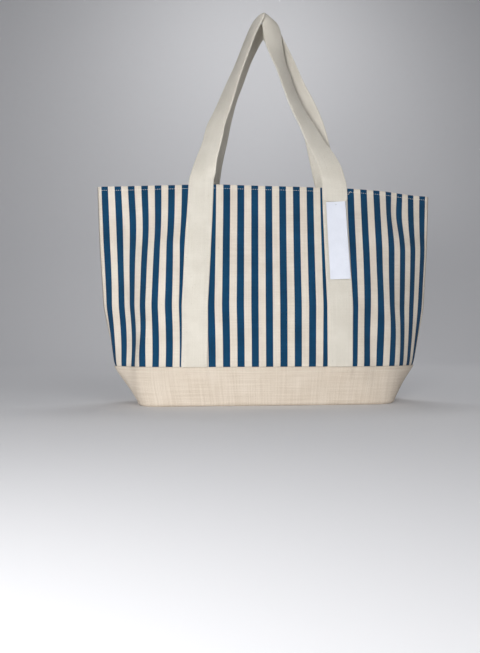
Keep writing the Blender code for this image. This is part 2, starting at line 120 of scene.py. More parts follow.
# Each handle's centre line from its left foot over the top to its right foot, seen from its own
# side of the bag: x, z and how far the strap has turned to ride over the top, in degrees.
HANDLE_LINES = {
    "front": (
        (-0.1109, 0.3446, 0), (-0.1040, 0.381, 28), (-0.0940, 0.416, 38),
        (-0.0880, 0.443, 40), (-0.0767, 0.472, 46), (-0.0604, 0.521, 56), (-0.0488, 0.553, 60),
        (-0.0337, 0.5975, 60), (-0.0205, 0.629, 54), (-0.0105, 0.637, 46),
        (0.0000, 0.634, 32), (0.0050, 0.618, 20), (0.0082, 0.592, 22), (0.0148, 0.563, 36),
        (0.0235, 0.5375, 42), (0.0329, 0.507, 42), (0.0463, 0.473, 36), (0.0606, 0.446, 30),
        (0.0735, 0.419, 24), (0.0875, 0.395, 16), (0.0975, 0.371, 7), (0.1009, 0.3446, 0),
    ),
    "back": (
        (-0.1109, 0.3446, 0), (-0.1060, 0.372, 10), (-0.0945, 0.422, 24),
        (-0.0828, 0.466, 36), (-0.0680, 0.502, 44), (-0.0523, 0.5314, 46), (-0.0362, 0.568, 48),
        (-0.0220, 0.599, 50), (-0.0110, 0.620, 52), (0.0020, 0.630, 54), (0.0150, 0.624, 56),
        (0.0260, 0.605, 58), (0.0370, 0.580, 58), (0.0500, 0.545, 54), (0.0625, 0.514, 48),
        (0.0740, 0.475, 40), (0.0820, 0.444, 30), (0.0925, 0.405, 16), (0.0985, 0.370, 6),
        (0.1009, 0.3446, 0),
    ),
}
APEX_Y = -0.014


# ---- camera, light and stage ---------------------------------------------------------
def add_camera():
    data = bpy.data.cameras.new("camera")
    data.lens = 27.0
    data.sensor_width = 36.0
    camera = bpy.data.objects.new("camera", data)
    camera.location = (-0.122, -0.794, 0.086)
    camera.rotation_euler = (math.radians(92.5), 0.0, math.radians(-5.4))
    bpy.context.scene.collection.objects.link(camera)
    bpy.context.scene.camera = camera


def add_area_light(name, place, target, size, power):
    data = bpy.data.lights.new(name, "AREA")
    data.size = size
    data.energy = power
    light = bpy.data.objects.new(name, data)
    light.location = place
    aim = np.array(target) - np.array(place)
    flat = math.hypot(aim[0], aim[1])
    light.rotation_euler = (math.atan2(flat, -aim[2]), 0.0, math.atan2(-aim[0], aim[1]))
    bpy.context.scene.collection.objects.link(light)


def add_lights():
    add_area_light("key", (-0.38, -1.05, 0.12), (0.0, 0.0, 0.18), 0.22, 9.2)
    add_area_light("fill", (0.7, -1.6, 0.9), (0.0, 0.0, 0.2), 1.2, 5.0)
    add_area_light("wall", (0.3, 1.0, 2.6), (0.3, 2.6, 0.2), 1.2, 16.0)
    world = bpy.data.worlds.new("studio")
    world.use_nodes = True
    world.node_tree.nodes["Background"].inputs["Color"].default_value = (0.80, 0.81, 0.84, 1.0)
    world.node_tree.nodes["Background"].inputs["Strength"].default_value = 0.22
    bpy.context.scene.world = world


def add_stage():
    """A pale floor that curves up into a backdrop."""
    radius, front, back, high, half = 0.8, -3.0, 2.6, 3.6, 4.0
    steps, drop = 12, 0.0002
    profile = [(front, 0.0), (back - radius, 0.0)]
    for i in range(1, steps + 1):
        turn = math.radians(90 * i / steps)
        profile.append((back - radius + radius * math.sin(turn), radius - radius * math.cos(turn)))
    profile.append((back, high))
    verts, faces = [], []
    for y, z in profile:
        verts += [(-half, y, z - drop), (half, y, z - drop)]
    for i in range(len(profile) - 1):
        faces.append((2 * i, 2 * i + 1, 2 * i + 3, 2 * i + 2))
    mesh = bpy.data.meshes.new("studio_floor")
    mesh.from_pydata(verts, [], faces)
    mesh.shade_smooth()
    floor = bpy.data.objects.new("studio_floor", mesh)
    bpy.context.scene.collection.objects.link(floor)
    paper, shader, _ = new_material("studio_paper", 0.85)
    shader.inputs["Base Color"].default_value = (0.86, 0.86, 0.88, 1.0)
    floor.data.materials.append(paper)


# ---- materials -----------------------------------------------------------------------
def new_material(name, roughness):
    made = bpy.data.materials.new(name)
    made.use_nodes = True
    shader = made.node_tree.nodes["Principled BSDF"]
    shader.inputs["Roughness"].default_value = roughness
    return made, shader, Graph(made.node_tree.nodes, made.node_tree.links)


class Graph:
    """Short ways to add shader nodes to one material."""

    def __init__(self, nodes, links):
        self.nodes = nodes
        self.links = links

    def put(self, socket, value):
        if isinstance(value, bpy.types.NodeSocket):
            self.links.new(value, socket)
        else:
            socket.default_value = value

    def math(self, operation, first, second=0.0):
        node = self.nodes.new("ShaderNodeMath")
        node.operation = operation
        for socket, value in zip(node.inputs, (first, second)):
            self.put(socket, value)
        return node.outputs[0]

    def object_place(self):
        return self.nodes.new("ShaderNodeTexCoord").outputs["Object"]

    def cloth_axes(self):
        """Distances across and along the cloth, in metres."""
        uv = self.nodes.new("ShaderNodeUVMap")
        uv.uv_map = "cloth"
        split = self.nodes.new("ShaderNodeSeparateXYZ")
        self.links.new(uv.outputs["UV"], split.inputs[0])
        return uv.outputs["UV"], split.outputs[0], split.outputs[1]

    def noise(self, vector, scale, detail=2.0, stretch=(1.0, 1.0, 1.0)):
        mapping = self.nodes.new("ShaderNodeMapping")
        mapping.inputs["Scale"].default_value = stretch
        self.links.new(vector, mapping.inputs["Vector"])
        node = self.nodes.new("ShaderNodeTexNoise")
        node.inputs["Scale"].default_value = scale
        node.inputs["Detail"].default_value = detail
        self.links.new(mapping.outputs[0], node.inputs["Vector"])
        return node.outputs["Fac"]

    def ramp(self, value, low, high, to_low=0.0, to_high=1.0):
        node = self.nodes.new("ShaderNodeMapRange")
        node.interpolation_type = "SMOOTHSTEP"
        for socket, number in zip(node.inputs[1:5], (low, high, to_low, to_high)):
            socket.default_value = number
        self.put(node.inputs["Value"], value)
        return node.outputs[0]

    def mix(self, share, first, second):
        node = self.nodes.new("ShaderNodeMix")
        node.data_type = "RGBA"
        self.put(node.inputs["Factor"], share)
        self.put(node.inputs["A"], first)
        self.put(node.inputs["B"], second)
        return node.outputs["Result"]

    def bump(self, height, distance, strength=1.0, onto=None):
        node = self.nodes.new("ShaderNodeBump")
        node.inputs["Distance"].default_value = distance
        node.inputs["Strength"].default_value = strength
        self.links.new(height, node.inputs["Height"])
        if onto is not None:
            self.links.new(onto, node.inputs["Normal"])
        return node.outputs["Normal"]


def weave(graph, u, v, yarn):
    """Plain weave: the height of each yarn crossing, and 1 where the upright yarn is on top."""
    across = graph.math("SINE", graph.math("MULTIPLY", u, math.pi / yarn))
    along = graph.math("SINE", graph.math("MULTIPLY", v, math.pi / yarn))
    product = graph.math("MULTIPLY", across, along)
    height = graph.math("POWER", graph.math("ABSOLUTE", product), 0.5)
    upright = graph.math("GREATER_THAN", product, 0.0)
    return height, upright


def canvas_material(name, light, dark, yarn=0.0010, stripes=None, streak=0.5, depth=0.00022):
    """Woven cotton canvas.  `stripes` is the colour of yarn-dyed stripes, if there are any."""
    made, shader, graph = new_material(name, 0.92)
    uv, u, v = graph.cloth_axes()
    height, upright = weave(graph, u, v, yarn)
    upright_tone = graph.noise(uv, 1.0, 1.0, (1.0 / yarn, 12.0, 1.0))
    level_tone = graph.noise(uv, 1.0, 1.0, (12.0, 1.0 / yarn, 1.0))
    yarn_tone = graph.math("ADD", graph.math("MULTIPLY", upright_tone, upright),
                           graph.math("MULTIPLY", level_tone,
                                      graph.math("SUBTRACT", 1.0, upright)))
    slow = graph.noise(uv, 26.0, 3.0)
    tone = graph.math("ADD", graph.math("MULTIPLY", yarn_tone, streak),
                      graph.math("MULTIPLY", slow, 1.0 - streak))
    cloth = graph.mix(graph.ramp(tone, 0.34, 0.66), (*dark, 1.0), (*light, 1.0))
    fleck = graph.ramp(graph.noise(uv, 520.0, 1.0, (1.0, 0.45, 1.0)), 0.70, 0.78)
    cloth = graph.mix(graph.math("MULTIPLY", fleck, 0.35), cloth,
                      (dark[0] * 0.55, dark[1] * 0.48, dark[2] * 0.38, 1.0))
    if stripes:
        snapped = graph.math("SNAP", graph.math("ADD", u, yarn / 2), yarn)
        wander = graph.math("MULTIPLY", graph.noise(uv, 60.0, 1.0), yarn * 0.5)
        place = graph.math("ADD", snapped, wander)
        wave = graph.math("COSINE", graph.math("MULTIPLY", place, 2 * math.pi / STRIPE_PITCH))
        inside = graph.math("GREATER_THAN", wave, 0.0)
        weft = graph.math("MULTIPLY", graph.math("SUBTRACT", 1.0, upright), 0.10)
        dyed_tone = graph.ramp(tone, 0.30, 0.70)
        deep = tuple(c * 0.62 for c in stripes)
        dyed = graph.mix(dyed_tone, (*deep, 1.0), (*stripes, 1.0))
        dyed = graph.mix(weft, dyed, (0.030, 0.110, 0.190, 1.0))
        cloth = graph.mix(inside, cloth, dyed)
    # Painted shade: the low places between the yarn crossings are darkened toward black.
    painted_hollow_shade = graph.mix(graph.ramp(height, 0.0, 0.55, 0.30, 0.0), cloth, (0.0, 0.0, 0.0, 1.0))
    graph.put(shader.inputs["Base Color"], painted_hollow_shade)
    fuzz = graph.noise(uv, 900.0, 2.0)
    relief = graph.math("ADD", height, graph.math("MULTIPLY", fuzz, 0.5))
    relief = graph.math("ADD", relief, graph.math("MULTIPLY", yarn_tone, 0.8))
    normal = graph.bump(relief, depth, 0.8)
    graph.put(shader.inputs["Normal"], graph.bump(graph.noise(uv, 70.0, 2.0), 0.0009, 0.35, normal))
    graph.put(shader.inputs["Roughness"], graph.ramp(height, 0.0, 1.0, 0.98, 0.86))
    shader.inputs["Sheen Weight"].default_value = 0.05
    shader.inputs["Sheen Roughness"].default_value = 0.55
    shader.inputs["Specular IOR Level"].default_value = 0.12
    return made


def thread_material(name, colour):
    made, shader, graph = new_material(name, 0.75)
    wave = graph.nodes.new("ShaderNodeTexWave")
    wave.inputs["Scale"].default_value = 900.0
    wave.inputs["Distortion"].default_value = 1.5
    wave.bands_direction = "DIAGONAL"
    graph.put(wave.inputs["Vector"], graph.object_place())
    # Painted shade: the darker diagonal bands stand for shade in the grooves of the twisted thread.
    shade = tuple(c * 0.78 for c in colour)
    graph.put(shader.inputs["Base Color"],
              graph.mix(wave.outputs["Fac"], (*shade, 1.0), (*colour, 1.0)))
    graph.put(shader.inputs["Normal"], graph.bump(wave.outputs["Fac"], 0.0001, 0.7))
    shader.inputs["Sheen Weight"].default_value = 0.25
    return made


def card_material():
    made, shader, graph = new_material("tag_card", 0.48)
    place = graph.object_place()
    pulp = graph.noise(place, 700.0, 3.0)
    cloud = graph.noise(place, 60.0, 2.0)
    tone = graph.math("ADD", graph.math("MULTIPLY", pulp, 0.5), graph.math("MULTIPLY", cloud, 0.5))
    graph.put(shader.inputs["Base Color"],
              graph.mix(graph.ramp(tone, 0.3, 0.7), (0.66, 0.685, 0.76, 1.0),
                        (0.71, 0.735, 0.81, 1.0)))
    graph.put(shader.inputs["Normal"], graph.bump(pulp, 0.00006, 0.5))
    graph.put(shader.inputs["Roughness"], graph.ramp(pulp, 0.3, 0.7, 0.44, 0.58))
    return made


def plastic_material():
    made, shader, graph = new_material("milky_plastic", 0.28)
    place = graph.object_place()
    cloud = graph.noise(place, 900.0, 2.0)
    graph.put(shader.inputs["Base Color"],
              graph.mix(cloud, (0.72, 0.76, 0.86, 1.0), (0.86, 0.88, 0.93, 1.0)))
    graph.put(shader.inputs["Roughness"], graph.ramp(cloud, 0.3, 0.7, 0.22, 0.36))
    shader.inputs["Transmission Weight"].default_value = 0.35
    return made


# ---- the cloth's surface -------------------------------------------------------------
S_GRID = np.linspace(-PANEL_HALF, PANEL_HALF, 463)
Z_GRID = np.linspace(0.0, HEIGHT, 173)


def smoothed(values, reach):
    """Values along the last axis, averaged over a window that reaches so many steps each way."""
    kernel = np.hanning(2 * reach + 3)[1:-1]
    flat = np.atleast_2d(values)
    rows = [np.convolve(np.pad(row, reach, mode="reflect", reflect_type="odd"),
                        kernel / kernel.sum(), mode="valid") for row in flat]
    return np.array(rows).reshape(np.shape(values))


def outlines():
    """The plain front surface: x and y for every height and every distance along the cloth."""
    levels = np.array([smoothed(np.interp(Z_GRID, LEVELS[:, 0], LEVELS[:, k]), 7)
                       for k in range(1, LEVELS.shape[1])]).T
    turn = np.linspace(0.0, math.pi / 2, 400)
    x_all = np.empty((len(Z_GRID), len(S_GRID)))
    y_all = np.empty_like(x_all)
    for row, level in enumerate(levels):
        half_width, half_depth = level[:2]
        for sign, wing in ((-1, level[2:5]), (1, level[5:8])):
            flat, corner_power, edge_power = wing
            x = half_width * np.sin(turn)
            share = np.clip((x - flat) / (half_width - flat), 0.0, 1.0)
            y = -half_depth * np.maximum(0.0, 1.0 - share ** corner_power) ** edge_power
            length = np.concatenate(([0.0], np.cumsum(np.hypot(np.diff(x), np.diff(y)))))
            here = S_GRID * sign >= 0
            target = np.abs(S_GRID[here]) / PANEL_HALF * length[-1]
            x_all[row, here] = sign * np.interp(target, length, x)
            y_all[row, here] = np.interp(target, length, y)
    y_all = smoothed(y_all, 5)
    y_all[:, 0] = y_all[:, -1] = 0.0
    return x_all + SKEW * y_all, y_all


def bell(value, centre, width):
    return np.exp(-((value - centre) / width) ** 2)


def folds(face):
    """How far the cloth stands out of its plain surface, for every height and distance."""
    s, z = np.meshgrid(S_GRID, Z_GRID)
    out = 0.0007 * np.sin(21 * s + 9 * z + face) * np.sin(13 * z + 1.7 + face)
    out += 0.0004 * np.sin(47 * s - 19 * z + 2 * face)
    mirror = -1 if face else 1
    for height, place, lean, width, middle, reach in FOLDS:
        centre = mirror * (place + lean * (z - 0.1))
        out += height * bell(s, centre, width) * bell(z, middle, reach)
    edge = 1.0 - np.abs(s / PANEL_HALF) ** 14
    return out * edge * np.clip(z / 0.03, 0.0, 1.0)


def kept_apart(y):
    """Depths no smaller than the room that the seam's turnings need near the side seams."""
    rise = 1.0 - np.exp(-(PANEL_HALF - np.abs(S_GRID)) / WING_REACH)
    room, ease = WING_ROOM * rise, 0.0015 * rise
    return -0.5 * (room - y + np.sqrt((y + room) ** 2 + ease ** 2))


def surface(face):
    """Points and outward normals of the front cloth on the grid, with the face's own folds."""
    x, y = outlines()
    z = np.repeat(Z_GRID[:, None], len(S_GRID), axis=1)
    points = np.stack((x, y, z), axis=2)
    points = points + grid_normals(points) * folds(face)[..., None] * (1, 1, 0)
    points[..., 1] = kept_apart(points[..., 1])
    return points, grid_normals(points)


def grid_normals(points):
    along = np.gradient(points, axis=1)
    up = np.gradient(points, axis=0)
    along[:, 0] = (0.0, -1.0, 0.0)
    along[:, -1] = (0.0, 1.0, 0.0)
    normals = np.cross(along, up)
    return normals / np.linalg.norm(normals, axis=2, keepdims=True)


FACES = {"front": 0.0, "back": 2.4}
SURFACES = {face: surface(phase) for face, phase in FACES.items()}


def on_cloth(face, s, z, offset=0.0):
    """Points on a face of the bag, outside the cloth by the offset.  Works on arrays."""
    s, z, offset = np.broadcast_arrays(*(np.asarray(v, float) for v in (s, z, offset)))
    points, normals = SURFACES[face]
    column = (s + PANEL_HALF) / (2 * PANEL_HALF) * (len(S_GRID) - 1)
    row = z / HEIGHT * (len(Z_GRID) - 1)
    c = np.clip(np.floor(column).astype(int), 0, len(S_GRID) - 2)
    r = np.clip(np.floor(row).astype(int), 0, len(Z_GRID) - 2)
    a = (column - c)[..., None]
    b = (row - r)[..., None]

    def blend_of(grid):
        low = grid[r, c] * (1 - a) + grid[r, c + 1] * a
        high = grid[r + 1, c] * (1 - a) + grid[r + 1, c + 1] * a
        return low * (1 - b) + high * b

    normal = blend_of(normals)
    normal[..., 2] = 0.0
    place = blend_of(points) + normal * offset[..., None]
    if face == "back":
        place[..., :2] *= -1
    return place


# ---- mesh helpers --------------------------------------------------------------------
def face_outward(mesh):
    """Turns every face round when the closed skin's faces look inward."""
    work = bmesh.new()
    work.from_mesh(mesh)
    if work.calc_volume(signed=True) < 0.0:
        bmesh.ops.reverse_faces(work, faces=work.faces)
        work.to_mesh(mesh)
    work.free()


def link_mesh(name, verts, faces, uvs=None, material=None, smooth=True):
    """An object from arrays; `uvs` has one row for each face corner, in face order."""
    mesh = bpy.data.meshes.new(name)
    mesh.from_pydata(np.asarray(verts).reshape(-1, 3).tolist(), [], faces)
    if uvs is not None:
        layer = mesh.uv_layers.new(name="cloth")
        layer.data.foreach_set("uv", np.asarray(uvs, np.float32).ravel())
    if smooth:
        mesh.shade_smooth()
    if material is not None:
        mesh.materials.append(material)
    mesh.validate()
    face_outward(mesh)
    made = bpy.data.objects.new(name, mesh)
    bpy.context.scene.collection.objects.link(made)
    return made


def grid_faces(rows, columns, close_rows=False, close_columns=False):
    """Quads of a grid of vertices, and for each corner its unwrapped row and column."""
    r = np.arange(rows if close_rows else rows - 1)
    c = np.arange(columns if close_columns else columns - 1)
    r, c = (m.ravel() for m in np.meshgrid(r, c, indexing="ij"))
    corner_rows = np.stack((r, r, r + 1, r + 1), axis=1)
    corner_columns = np.stack((c, c + 1, c + 1, c), axis=1)
    index = (corner_rows % rows) * columns + corner_columns % columns
    return index, corner_rows, corner_columns


def zipped(count, order):
    """Triangles that close a ring of that many points, from its two ends toward its middle."""
    low, high, made = 0, count - 1, []
    while high - low > 1:
        made.append((low, low + 1, high)[::order])
        low += 1
        if high - low > 1:
            made.append((low, high - 1, high)[::order])
            high -= 1
    return [list(triangle) for triangle in made]


def swept_mesh(name, points, u, v, material, close_rows=True, caps=True, flip=False):
    """A skin over a grid of points [row, column]; rows run round a section when closed.

    u and v give the cloth distances of each grid point, with one more row when it is closed.
    """
    rows, columns = points.shape[:2]
    index, corner_rows, corner_columns = grid_faces(rows, columns, close_rows)
    if flip:
        index, corner_rows, corner_columns = (m[:, ::-1] for m in
                                              (index, corner_rows, corner_columns))
    uvs = np.stack((u[corner_rows, corner_columns], v[corner_rows, corner_columns]), axis=2)
    faces = index.tolist()
    uvs = uvs.reshape(-1, 2)
    if caps:
        for column, order in ((0, 1), (columns - 1, -1)):
            for rim in zipped(rows, order * (-1 if flip else 1)):
                faces.append([r * columns + column for r in rim])
                uvs = np.concatenate((uvs, np.stack((u[rim, column], v[rim, column]), axis=1)))
    return link_mesh(name, points, faces, uvs, material)


def weld(piece, reach=0.000002):
    """Joins vertices that share a place, so that a skin whose edges meet is closed there."""
    work = bmesh.new()
    work.from_mesh(piece.data)
    bmesh.ops.remove_doubles(work, verts=work.verts, dist=reach)
    work.to_mesh(piece.data)
    work.free()


def join(name, pieces, smooth=True):
    """One object from several with the same material."""
    verts, faces = [], []
    for piece in pieces:
        base = len(verts)
        verts += [tuple(v.co) for v in piece.data.vertices]
        faces += [tuple(base + i for i in p.vertices) for p in piece.data.polygons]
    material = pieces[0].data.materials[0]
    for piece in pieces:
        bpy.data.objects.remove(piece)
    made = link_mesh(name, verts, faces, None, material, smooth)
    return made


# ---- panels --------------------------------------------------------------------------
def spaced(low, high, step):
    return np.linspace(low, high, max(2, int(round(abs(high - low) / step)) + 1))


def panel_profile():
    """Offset and height of points round a panel's section: out, over the hem's fold and in."""
    foot = BAND_TOP - PANEL_TUCK
    fold = CANVAS
    hem_foot = HEIGHT - HEM_DEPTH
    outside = spaced(foot, HEIGHT - fold, 0.003)
    dip = -0.00022 * bell(outside, HEM_STITCH_Z, 0.0014)
    section = list(zip(dip, outside))
    for i in range(1, 8):
        turn = math.pi * i / 8
        section.append((-fold + fold * math.cos(turn), HEIGHT - fold + fold * math.sin(turn)))
    for z in spaced(HEIGHT - fold, hem_foot, 0.0015):
        section.append((-2 * fold + 0.0002 * bell(z, HEM_STITCH_Z, 0.0014), z))
    section.append((-CANVAS - 0.0001, hem_foot - 0.0003))
    for z in spaced(hem_foot - 0.003, foot, 0.003):
        section.append((-CANVAS, z))
    return np.array(section)


def add_panel(face, material):
    section = panel_profile()
    s = spaced(-PANEL_HALF, PANEL_HALF, 0.0028)
    offset = section[:, :1] - 0.0007 * bell(PANEL_HALF - np.abs(s), 0.0, 0.0022)
    points = on_cloth(face, s[None, :], section[:, 1:2], offset)
    distance = np.concatenate(([0.0], np.cumsum(np.hypot(*np.diff(section, axis=0).T))))
    distance = np.append(distance, distance[-1] + CANVAS)
    u = np.repeat(s[None, :], len(section) + 1, axis=0)
    v = np.repeat(distance[:, None], len(s), axis=1)
    panel = swept_mesh(f"{face}_panel_cloth", points, u, v, material)
    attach(panel, "bag")
    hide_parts(f"{face}_panel")
    return panel


# ---- base ----------------------------------------------------------------------------
def band_offset(s, z):
    """The band's outer face: raised over the straps' tucked ends, pulled in at its stitching."""
    over_strap = 0.0
    for foot, _ in STRAP_LINES.values():
        over_strap = over_strap + 1.0 / (1.0 + np.exp((np.abs(s - foot) - STRAP_HALF) / 0.0009))
    raised = (STRAP_THICK + 0.0001) * over_strap * np.clip((z - 0.034) / 0.012, 0.0, 1.0)
    dip = -0.00030 * bell(z, BAND_STITCH_Z, 0.0013)
    pucker = 0.00020 * np.sin(2 * math.pi * s / (3 * STITCH_PITCH) + 1.3 * np.sin(31 * s))
    pucker = pucker * bell(z, BAND_TOP, 0.006)
    slack = 0.0006 * np.sin(33 * s + 40 * z) * bell(z, 0.024, 0.014)
    inner = 1.0 - np.abs(s / PANEL_HALF) ** 30
    seam = -0.0008 * bell(PANEL_HALF - np.abs(s), 0.0, 0.0024)
    return BAND_GAP + CANVAS + raised + dip + (pucker + slack) * inner + seam


def base_points(s, layer):
    """Rows of points down the front band, under the bottom and up the rear band."""
    inside = -CANVAS if layer == "inner" else 0.0
    turned = 0.0 if layer == "inner" else CANVAS * 0.9
    bottom = 0.0004 + (CANVAS if layer == "inner" else 0.0)
    heights = spaced(BAND_TOP - 0.0006, BASE_EDGE, 0.0022)

    def wall(face, s_wall):
        rows = []
        for z in heights:
            fold = turned * (z > BAND_TOP - 0.0095)
            offset = band_offset(s_wall, z) + inside + fold * 0.25
            rows.append(on_cloth(face, s_wall, z, offset))
        for i in range(1, 6):
            turn = math.radians(90 * i / 6)
            drop = BASE_EDGE - (BASE_EDGE - bottom) * math.sin(turn)
            inset = (BASE_EDGE - bottom) * (1 - math.cos(turn))
            offset = band_offset(s_wall, BASE_EDGE) + inside - inset
            point = on_cloth(face, s_wall, BASE_EDGE, offset)
            point[:, 2] = drop
            rows.append(point)
        return rows

    front = wall("front", s)
    rear = wall("back", -s)
    loose = 0.0007 * (1.0 - np.abs(s / PANEL_HALF) ** 30)
    under = []
    for share in np.linspace(0.0, 1.0, 34):
        row = front[-1] * (1 - share) + rear[-1] * share
        slack = loose * np.sin(15 * row[:, 0] + 3 * share) * math.sin(math.pi * share)
        row[:, 2] = bottom + (np.abs(slack) if layer == "inner" else 0.0)
        under.append(row)
    return np.array(front + under + rear[::-1])


def add_base(material):
    s = spaced(-PANEL_HALF, PANEL_HALF, 0.0028)
    outer = base_points(s, "outer")
    inner = base_points(s, "inner")[::-1]
    points = np.concatenate((outer, inner))
    step = np.linalg.norm(np.diff(points[:, len(s) // 2], axis=0), axis=1)
    distance = np.concatenate(([0.0], np.cumsum(step)))
    distance = np.append(distance, distance[-1] + CANVAS)
    u = np.repeat(s[None, :], len(points) + 1, axis=0)
    v = np.repeat(distance[:, None], len(s), axis=1)
    base = swept_mesh("base_cloth", points, u, v, material, caps=False, flip=True)
    weld(base)
    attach(base, "bag")
    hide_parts("base_panel")
    return base


# ---- straps --------------------------------------------------------------------------
def strap_centre(side, z):
    foot, head = STRAP_LINES[side]
    return foot + (head - foot) * (np.asarray(z) - BAND_TOP) / (HEIGHT - BAND_TOP)


def strap_section():
    """Places round a strap's section: across from -1 to 1, and out from -1 to 1."""
    across = np.array((-1.0, -0.985, -0.93, -0.86, -0.80, -0.55, -0.25, 0.0))
    out = np.array((0.0, 0.72, 0.98, 0.84, 0.98, 1.0, 1.0, 1.0))
    upper = np.concatenate((np.stack((across, out), 1), np.stack((-across, out), 1)[-2::-1]))
    lower = upper[1:-1][::-1] * (1, -1)
    return np.concatenate((upper, lower))


SECTION = strap_section()


def smooth_line(points, count):
    """Evenly spaced points on a smooth curve through the given ones."""
    points = np.asarray(points, float)
    ends = np.concatenate(([2 * points[0] - points[1]], points, [2 * points[-1] - points[-2]]))
    t = np.linspace(0.0, 1.0, 24, endpoint=False)[:, None]
    dense = []
    for a, b, c, d in zip(ends, ends[1:], ends[2:], ends[3:]):
        dense.append(0.5 * (2 * b + (c - a) * t + (2 * a - 5 * b + 4 * c - d) * t ** 2
                            + (3 * b - a - 3 * c + d) * t ** 3))
    dense = np.concatenate(dense + [points[-1:]])
    steps = np.linalg.norm(np.diff(dense[:, :3], axis=0), axis=1)
    length = np.concatenate(([0.0], np.cumsum(steps)))
    even = np.linspace(0.0, length[-1], count)
    return np.stack([np.interp(even, length, dense[:, k]) for k in range(dense.shape[1])], 1)


def unit(vectors):
    return vectors / np.linalg.norm(vectors, axis=-1, keepdims=True)


class Loop:
    """The free run of a handle: its centre line and how the strap turns along it."""

    def __init__(self, face, lift_left, lift_right, count=220):
        self.face = face
        foot_left = on_cloth(face, strap_centre("left", HEIGHT), HEIGHT, lift_left)
        foot_right = on_cloth(face, strap_centre("right", HEIGHT), HEIGHT, lift_right)
        if face == "back":
            foot_left[:2] *= -1
            foot_right[:2] *= -1
        flat = np.array(HANDLE_LINES[face])
        top = flat[:, 1].max()
        share = (flat[:, 1] - HEIGHT) / (top - HEIGHT)
        rank = np.arange(len(flat))
        foot_y = np.where(rank < np.argmax(flat[:, 1]), foot_left[1], foot_right[1])
        y = foot_y + (APEX_Y - foot_y) * share
        points = np.stack((flat[:, 0], y, flat[:, 1], np.radians(flat[:, 2])), 1)
        points[0, :3] = foot_left
        points[-1, :3] = foot_right
        line = smooth_line(points, count)
        self.centre = line[:, :3]
        twist = line[:, 3]
        self.share = np.clip((self.centre[:, 2] - HEIGHT) / (top - HEIGHT), 0.0, 1.0)
        self.length = np.linalg.norm(np.diff(self.centre, axis=0), axis=1).sum()
        highest = np.argmax(self.centre[:, 2])
        rising = np.where(np.arange(count) < highest, 1.0, -1.0)
        tangent = unit(np.gradient(self.centre, axis=0))
        flat_way = np.stack((rising * np.cos(twist), -np.sin(twist), np.zeros(count)), 1)
        inward = (flat_way * tangent).sum(1, keepdims=True)
        across = unit(flat_way - tangent * inward)
        self.across = unit(smoothed(across.T, 5).T)
        self.normal = unit(np.cross(self.across, tangent))
        self.half = STRAP_HALF + (APEX_HALF - STRAP_HALF) * self.share ** 2
        self.cup = 0.0045 * self.share ** 3

    def place(self, across, out):
        """Points for places across the strap (-1 to 1) and out of it (metres), per station."""
        side = self.across[:, None] * (self.half[:, None] * across[None, :])[..., None]
        lift = out[None, :] - self.cup[:, None] * across[None, :] ** 2
        points = self.centre[:, None] + side + self.normal[:, None] * lift[..., None]
        if self.face == "back":
            points[..., :2] *= -1
        return points


def sewn_points(face, side, heights, across, out, lift, half=None):
    """Points of a strap's run that lies on the panel, one row for each height."""
    half = np.full(len(heights), STRAP_HALF) if half is None else half
    s = strap_centre(side, heights)[:, None] + half[:, None] * across[None, :]
    lifts = np.broadcast_to(np.asarray(lift, float), (len(heights),))
    return on_cloth(face, s, np.asarray(heights)[:, None], lifts[:, None] + out[None, :])


def strap_runs(face, across, out):
    """Points along a whole handle: up the left leg, over the top and down to the tab's end."""
    left_z = spaced(BAND_TOP - STRAP_TUCK, HEIGHT, 0.003)
    tab_z = spaced(HEIGHT - TAB_DROP, HEIGHT, 0.0012)[::-1]
    cut = np.clip((tab_z - (HEIGHT - TAB_DROP)) / TAB_CUT, 0.0, 1.0)
    tab_half = STRAP_HALF * (0.72 + 0.28 * np.sqrt(1 - (1 - cut) ** 2))
    loop = Loop(face, STRAP_MIDDLE, LAP_MIDDLE)
    left = sewn_points(face, "left", left_z[:-1], across, out, STRAP_MIDDLE)
    free = loop.place(across, out)
    tab = sewn_points(face, "right", tab_z[1:], -across, out, LAP_MIDDLE, tab_half[1:])
    settle = np.clip((free[:, :, 2] - HEIGHT) / 0.018, 0.0, 1.0)[..., None]
    settle = settle * settle * (3 - 2 * settle)
    near_left = sewn_points(face, "left", loop.centre[:, 2], across, out, STRAP_MIDDLE)
    near_right = sewn_points(face, "right", loop.centre[:, 2], -across, out, LAP_MIDDLE)
    first_half = (np.arange(len(free)) < len(free) / 2)[:, None, None]
    near = np.where(first_half, near_left, near_right)
    free = free * settle + near * (1 - settle)
    return np.concatenate((left, free, tab)), loop


def ribbon(name, points, material):
    """A strap's skin from points [station, place round the section]."""
    points = points.transpose(1, 0, 2)
    middle = points.mean(axis=0)
    length = np.concatenate(([0.0], np.cumsum(np.linalg.norm(np.diff(middle, axis=0), axis=1))))
    round_it = np.append(SECTION[:, 0], SECTION[0, 0]) * STRAP_HALF
    u = np.repeat(round_it[:, None], points.shape[1], axis=1)
    v = np.repeat(length[None, :], len(round_it), axis=0)
    return swept_mesh(name, points, u, v, material)


def add_straps(face, material):
    across, out = SECTION[:, 0], SECTION[:, 1] * STRAP_THICK / 2
    points, loop = strap_runs(face, across, out)
    handle = ribbon(f"{face}_handle_strap", points, material)
    bend_over_mouth(handle)
    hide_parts(f"{face}_left_strap", f"{face}_handle_loop", f"{face}_strap_join_tab")

    heights = spaced(BAND_TOP - STRAP_TUCK, HEIGHT - 0.0012, 0.003)
    leg_points = sewn_points(face, "right", heights, -across, out, STRAP_MIDDLE)
    leg = ribbon(f"{face}_right_leg_strap", leg_points[::-1], material)
    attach(leg, "bag")
    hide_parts(f"{face}_right_strap")


def bend_over_mouth(piece):
    """Bakes the piece's placing into its mesh."""
    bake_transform(piece)


